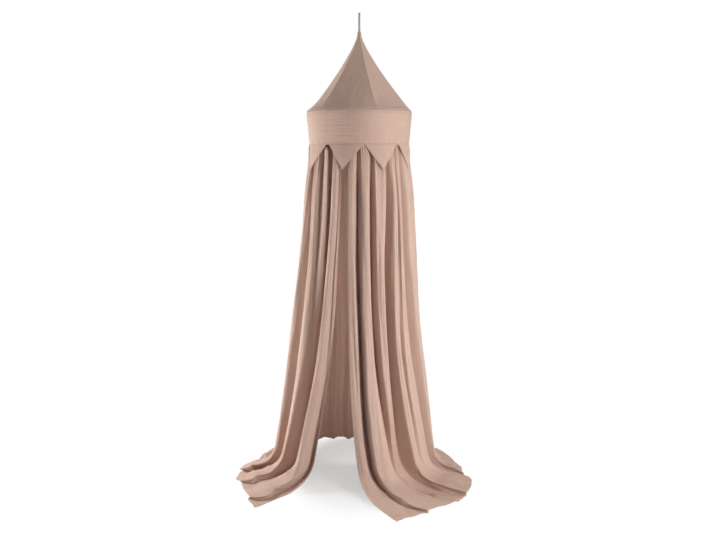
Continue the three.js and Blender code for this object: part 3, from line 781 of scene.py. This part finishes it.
def curtain_grid():
    """The curtain's outer face as one cloth: its lines' names, places, and how far each place is from
    the heading and from the hem."""
    names, lines = fold_table()
    knots = np.arange(len(lines), dtype=float)[:, None]
    position = np.arange((len(lines) - 1) * COLUMNS_PER_FOLD + 1) / COLUMNS_PER_FOLD
    columns = smooth_through(knots, lines, smooth_slopes(knots, lines), position[:, None])
    near, half, low, hem, foot, reach = (columns[:, k : k + 1] for k in range(6))
    foot, reach = foot * CROWN_RADIUS, np.maximum(reach, foot) * CROWN_RADIUS
    length, total, radius, level, up, run_share = curtain_path(foot, reach)

    turn = line_turns(near, half, low, hem, length, total)
    bow = line_shares(names, position, FLOOR_BOWS)[:, None]
    bow = bow * np.sin(math.pi * np.clip(run_share, 0, 1)) ** 0.7
    shift = pleat_shift(names, position)[:, None] * np.sin(up) ** 2 + bow
    turn = turn + np.degrees(shift / np.maximum(radius, 0.1))

    depth = fold_depth(length, up, run_share)
    rise = fold_rise(names, lines, position, length, up)
    out = radius + (rise - FOLD_SINK) * depth * np.cos(up)
    grid = place(turn, out, level + rise * depth * np.sin(up))

    from_hem = total - length
    push = small_folds(names, position, length, from_hem, up)
    grid = grid + push[..., None] * grid_normals(grid)
    grid[..., 2] = np.maximum(grid[..., 2], FLOOR_LEVEL + CLOTH)
    return names, grid, length, from_hem


def curtain():
    names, grid, length, from_hem = curtain_grid()
    normals = grid_normals(grid)
    hem_fold = smoothstep(-from_hem, -HEM_STEP[0], -HEM_STEP[1])
    thick = CLOTH * (1 + HEM_THICKER * hem_fold)
    outer = grid + (HEM_OUTSIDE * CLOTH * hem_fold)[..., None] * normals
    inner = outer - thick[..., None] * normals
    inner[..., 2] = np.maximum(inner[..., 2], FLOOR_LEVEL)
    lying = normals[..., 2] > 0.5
    outer[..., 2] = np.maximum(outer[..., 2], inner[..., 2] + PRESSED_CLOTH * lying)
    panels = []
    for name, first, last in PANELS:
        a, b = (names.index(n) * COLUMNS_PER_FOLD for n in (first, last))
        part = slice(a, b + 1)
        across = lengths_across(outer[part])
        if name == "right_front_leaf":
            across = across[-1:] - across
        is_leaf = "leaf" in name
        edge = across if is_leaf else np.minimum(across, across[-1:] - across)
        weave_uv = coordinates(across, length[part])
        edge_uv = coordinates(edge, from_hem[part])
        panel = sheet_mesh(f"{name}_cloth", outer[part], inner[part], weave_uv, edge_uv)
        dress(
            panel, curtain_cloth, None if is_leaf else "canopy", [name],
        )
        panels.append(panel)
    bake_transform(panels[0])
    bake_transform(panels[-1])


# Roof, casing, band


def roof():
    """Six gores, each drawn nearly flat between its seams and round where it meets the hoop."""
    foot = CASING_TOP + SEAM_GAP + CLOTH
    columns, rows = 36, 60
    across = np.linspace(-1, 1, columns + 1)[:, None]
    share = np.linspace(0, 1, rows + 1)[None, :] ** 1.15
    radius_round = np.hypot(ROOF_NECK, (CROWN_RADIUS - CLOTH) * share**ROOF_CURVE)
    drawn_flat = GORE_FLATNESS * (1 - share**GORE_ROUNDING)
    level = lerp(APEX_LEVEL, foot, share) + 0 * across
    middle = np.clip(np.cos(across * math.pi / 2), 0, 1)
    loose = middle**0.5 * smoothstep(share, 0.3, 0.75)
    roll = EDGE_ROLL * np.exp(-(((level - foot - EDGE_ROLL_LEVEL) / EDGE_ROLL_WIDTH) ** 2))
    for g, (start, end) in enumerate(zip(ROOF_SEAMS, ROOF_SEAMS[1:])):
        turn = lerp(start, end, (across + 1) / 2)
        half_gore = math.radians(end - start) / 2
        flat = np.cos(half_gore) / np.cos(half_gore * across)
        flattened = lerp(1, flat, drawn_flat)
        radius = radius_round * flattened
        grid = place(turn, radius, level)
        push = loose * 0.0008 * ripples(across * radius / 0.6, level, 0.16, 0.12, 30 + g, 5)
        push = push + roll * middle**0.3
        normals = grid_normals(grid)
        outer = grid + push[..., None] * normals
        seam = (np.abs(across) > 0.999)[..., None]
        normals = np.where(seam, grid_normals(place(turn, radius / flattened, level)), normals)
        inner = outer - CLOTH * normals
        width, down = lengths_across(outer), lengths_down(outer)
        weave_uv = coordinates(width - width[-1:] / 2, down)
        edge_uv = coordinates(width, down[:, -1:] - down)
        gore = sheet_mesh(f"roof_gore_cloth_{g + 1}", outer, inner, weave_uv, edge_uv)
        dress(
            gore, crown_cloth, "canopy", [f"roof_gore_{g + 1}"],
        )


def casing():
    """The channel that is folded over the hoop, rounded at its top edges and open below between its legs."""
    turn = np.linspace(0, 360, 160, endpoint=False)[:, None]
    inner_radius = CROWN_RADIUS - CASING_DEPTH
    shoulder = CASING_TOP - CASING_CORNER
    bend = np.linspace(0, math.pi / 2, 9)[1:]
    legs = np.linspace(CASING_FOOT, shoulder, 5)
    outer_bend = CROWN_RADIUS - CASING_CORNER + CASING_CORNER * np.cos(bend)
    inner_bend = inner_radius + CASING_CORNER - CASING_CORNER * np.cos(bend)
    radii = [CROWN_RADIUS + 0 * legs, outer_bend, inner_bend[::-1], inner_radius + 0 * legs]
    rise = shoulder + CASING_CORNER * np.sin(bend)
    levels = [legs, rise, rise[::-1], legs[::-1]]
    radii, levels = np.concatenate(radii)[::-1], np.concatenate(levels)[::-1]
    wobble = 0.0004 * np.sin(np.radians(turn * 9)) + 0.0003 * np.sin(np.radians(turn * 23 + 40))
    outer = place(turn, radii[None, :] + wobble, levels[None, :] + 0.5 * wobble)
    inner = outer - CLOTH * grid_normals(outer, closed=True)
    down = lengths_down(outer)
    weave_uv = coordinates(np.radians(turn) * CROWN_RADIUS, down)
    edge_uv = coordinates(down, down[:, -1:] - down)
    ring = sheet_mesh("hoop_casing_cloth", outer, inner, weave_uv, edge_uv, closed=True)
    dress(
        ring, band_cloth, "canopy", ["hoop_casing"],
    )


def band():
    """The straight drum under the hoop in two halves, with packing creases and a puckered lower edge."""
    for name, start in (("band_front", -90), ("band_back", 90)):
        turn = np.linspace(start, start + 180, 145)[:, None]
        share = np.linspace(0, 1, 36)[None, :]
        level = lerp(CASING_FOOT - SEAM_GAP, BAND_FOOT_LEVEL, share) + 0 * turn
        radius = lerp(CROWN_RADIUS, BAND_FOOT_RADIUS, share)
        across = np.radians(turn) * BAND_MIDDLE_RADIUS
        free = np.clip(np.sin(math.pi * share), 0, 1) ** 0.6
        creases = 0.0006 * ripples(level, across, 0.022, 0.2, 41, 9) * free
        pucker = 0.0007 * ripples(across, level, 0.045, 0.4, 43) * share**2
        outer = place(turn, radius + creases + pucker, level)
        inner = outer - CLOTH * grid_normals(outer)
        down = lengths_down(outer)
        weave_uv = coordinates(across, down)
        edge_uv = coordinates(across - across[:1], down[:, -1:] - down)
        half = sheet_mesh(f"{name}_cloth", outer, inner, weave_uv, edge_uv)
        dress(
            half, band_cloth, "canopy", [name],
        )


def pennants():
    """Double cloth triangles, turned and pressed, sewn under the band's edge and lying on the folds."""
    across = np.linspace(-1, 1, 33)[:, None]
    share = np.linspace(0, 1, 33)[None, :]
    radius = BAND_FOOT_RADIUS + PENNANT_STAND + PENNANT_LEAN * share + 0 * across
    half_width = lerp(PENNANT_WIDTH, PENNANT_TIP, share) / 2
    level = BAND_FOOT_LEVEL - SEAM_GAP - PENNANT_LENGTH * share + 0 * across
    width = across * half_width
    edge = np.minimum(half_width - np.abs(width), (1 - share) * PENNANT_LENGTH + 0.001)
    round_edge = np.sqrt(np.clip(1 - (1 - np.clip(edge / PENNANT_EDGE, 0, 1)) ** 2, 0, 1))
    thick = PENNANT_CLOTH * (PENNANT_EDGE_SHARE + (1 - PENNANT_EDGE_SHARE) * round_edge)
    weave_uv = coordinates(width, PENNANT_LENGTH * share)
    edge_uv = coordinates(edge, level - BAND_FOOT_LEVEL)
    for p, (base, tip) in enumerate(PENNANT_TURNS, 1):
        turn = lerp(base, tip, share) + np.degrees(across * half_width / radius)
        wave = PENNANT_WAVE * ripples(width, level, 0.05, 0.09, 60 + p) * share
        curl = PENNANT_CURL * smoothstep(share, 0.5, 1) * math.sin(2.4 * p)
        grid = place(turn, radius + wave + curl, level)
        normals = grid_normals(grid)
        outer = grid + (0.5 * (thick - PENNANT_CLOTH))[..., None] * normals
        inner = outer - thick[..., None] * normals
        piece = sheet_mesh(f"pennant_cloth_{p}", outer, inner, weave_uv, edge_uv)
        dress(
            piece, pennant_cloth, None, [f"pennant_{p}"],
        )
        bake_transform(piece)


def hanging_loop():
    """A tape folded in two: up one leg, over the hook's place and down the other."""
    leg_rows = 23
    bend = np.linspace(0, math.pi, 17)
    leg = np.linspace(APEX_LEVEL - LOOP_SEWN_IN, -LOOP_HALF_GAP, leg_rows + 1)[:-1]
    offsets = np.concatenate([np.full(leg_rows, 1.0), np.cos(bend), np.full(leg_rows, -1.0)])
    rise = np.concatenate([leg, -LOOP_HALF_GAP + 0 * bend, leg[::-1]])
    lift = np.concatenate([np.zeros(leg_rows), np.sin(bend), np.zeros(leg_rows)])
    across = np.linspace(-1, 1, 9)[:, None]

    def path(reach, crown):
        rounded = reach - crown * across**2
        x = across * TAPE_HALF_WIDTH + 0 * offsets
        return np.stack([x, offsets * rounded, rise + lift * rounded], axis=-1)

    outer, inner = path(LOOP_HALF_GAP + TAPE, TAPE_CROWN), path(LOOP_HALF_GAP, -TAPE_CROWN)
    down = lengths_down(outer)
    weave_uv = coordinates(across * TAPE_HALF_WIDTH, down)
    edge_uv = coordinates(TAPE_HALF_WIDTH - np.abs(across * TAPE_HALF_WIDTH), down)
    tape_piece = sheet_mesh("hanging_loop_tape", outer[::-1], inner[::-1], weave_uv, edge_uv)
    dress(
        tape_piece, loop_tape, "canopy", ["hanging_loop"],
    )


def hoop_finishes():
    """The hoop's own solids are kept, and only given their plastics."""
    for name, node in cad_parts.items():
        if name.startswith("hoop_section"):
            material = hoop_rod
        elif name.startswith("hoop_connector"):
            material = hoop_sleeve
        else:
            continue
        node.data.materials.clear()
        node.data.materials.append(material)


# Camera, floor and light

CAMERA_PLACE = (-0.0059, -3.4, FLOOR_LEVEL + 1.578)
CAMERA_DOWN = 9.54
CAMERA_LENS = 35.055

# Name, place, what it aims at, width, height, power
LAMPS = [
    ("left_softbox", (-2.35, 0.12, -1.2), (0, 0, -1.3), 0.8, 1.9, 71),
    ("right_softbox", (1.8, -1.9, -1.0), (0, 0, -1.2), 0.9, 1.9, 54),
    ("right_side_softbox", (2.3, -0.4, -1.0), (0, 0, -1.2), 0.9, 1.9, 12),
    ("top_fill", (0.2, -1.5, 2.2), (0, -0.3, -1.2), 2.0, 2.0, 31),
    ("back_fill", (0, 3.2, -0.6), (0, 0, -1.1), 1.6, 1.6, 14),
]
INNER_GLOW = ("inner_glow", (0, -0.05, -1.42), (0, 1, -1.42), 0.25, 1.5, 1.25, (1, 0.94, 0.9))
SKY_LIGHT = 0.03

# Around the canopy the floor shows its shadows, and further out it goes over into plain white
FLOOR_SIZE = 30
FLOOR_DROP = 0.0004
SHADOW_MIDDLE = (-0.03, -0.08)
SHADOW_REACH = (0.30, 0.44)
SHADOW_FADE = (0.72, 1.2)
FLOOR_GLOW = 0.5


def camera():
    data = bpy.data.cameras.new("camera")
    data.sensor_width = 36
    data.lens = CAMERA_LENS
    made = bpy.data.objects.new("camera", data)
    bpy.context.scene.collection.objects.link(made)
    made.location = CAMERA_PLACE
    made.rotation_euler = (math.radians(90 - CAMERA_DOWN), 0, 0)
    bpy.context.scene.camera = made


def area_lamp(name, location, target, width, height, power, color=(1, 1, 1)):
    data = bpy.data.lights.new(name, "AREA")
    data.shape, data.size, data.size_y = "RECTANGLE", width, height
    data.energy, data.color = power, color
    lamp = bpy.data.objects.new(name, data)
    bpy.context.scene.collection.objects.link(lamp)
    lamp.location = location
    aim = np.array(target) - np.array(location)
    pan = math.atan2(aim[1], aim[0])
    tilt = math.atan2(aim[2], math.hypot(aim[0], aim[1]))
    lamp.rotation_euler = (tilt + math.pi / 2, 0, pan - math.pi / 2)
    lamp.visible_camera = False


def seen_directly(tree, *rays):
    """1 for the rays from the camera and those named, which show the white background."""
    path = add_node(tree, "ShaderNodeLightPath")
    seen = path.outputs["Is Camera Ray"]
    for ray in rays:
        seen = math_node(tree, "MAXIMUM", seen, path.outputs[ray])
    return seen


def studio_world():
    world = bpy.data.worlds.new("studio")
    bpy.context.scene.world = world
    world.use_nodes = True
    tree = world.node_tree
    light = tree.nodes["Background"]
    seen = seen_directly(tree, "Is Glossy Ray", "Is Transmission Ray")
    light.inputs["Color"].default_value = (1, 1, 1, 1)
    strength = math_node(tree, "MULTIPLY_ADD", seen, 1 - SKY_LIGHT, SKY_LIGHT)
    tree.links.new(strength, light.inputs["Strength"])


def studio_floor():
    mesh = bpy.data.meshes.new("floor")
    size = FLOOR_SIZE
    mesh.from_pydata(
        [(-size, -size, 0), (size, -size, 0), (size, size, 0), (-size, size, 0)], [], [(0, 1, 2, 3)]
    )
    floor = bpy.data.objects.new("floor", mesh)
    floor.location = (0, 0, FLOOR_LEVEL - FLOOR_DROP)
    bpy.context.scene.collection.objects.link(floor)
    material, tree, shader = new_material("studio_floor")
    shader.inputs["Base Color"].default_value = (0.86, 0.86, 0.86, 1)
    shader.inputs["Roughness"].default_value = 0.9
    shader.inputs["Specular IOR Level"].default_value = 0.1
    glow = add_node(tree, "ShaderNodeEmission")
    mix = add_node(tree, "ShaderNodeMixShader")
    geometry = add_node(tree, "ShaderNodeNewGeometry")
    centred = add_node(tree, "ShaderNodeVectorMath", operation="MULTIPLY_ADD")
    tree.links.new(geometry.outputs["Position"], centred.inputs[0])
    centred.inputs[1].default_value = (*(1 / reach for reach in SHADOW_REACH), 0)
    centred.inputs[2].default_value = (*(-m / reach for m, reach in zip(SHADOW_MIDDLE, SHADOW_REACH)), 0)
    away = add_node(tree, "ShaderNodeVectorMath", operation="LENGTH")
    tree.links.new(centred.outputs[0], away.inputs[0])
    fade = add_node(tree, "ShaderNodeMapRange", interpolation_type="SMOOTHSTEP")
    tree.links.new(away.outputs["Value"], fade.inputs["Value"])
    fade.inputs["From Min"].default_value, fade.inputs["From Max"].default_value = SHADOW_FADE
    fade.inputs["To Min"].default_value = FLOOR_GLOW
    seen = seen_directly(tree, "Is Glossy Ray")
    tree.links.new(math_node(tree, "MULTIPLY", fade.outputs[0], seen), mix.inputs["Fac"])
    tree.links.new(shader.outputs[0], mix.inputs[1])
    tree.links.new(glow.outputs[0], mix.inputs[2])
    tree.links.new(mix.outputs[0], tree.nodes["Material Output"].inputs["Surface"])
    mesh.materials.append(material)


hanging_loop()
roof()
casing()
band()
pennants()
curtain()
hoop_finishes()
camera()
for lamp in LAMPS:
    area_lamp(*lamp)
area_lamp(*INNER_GLOW)
studio_world()
studio_floor()
bpy.context.scene.view_settings.view_transform = "Standard"
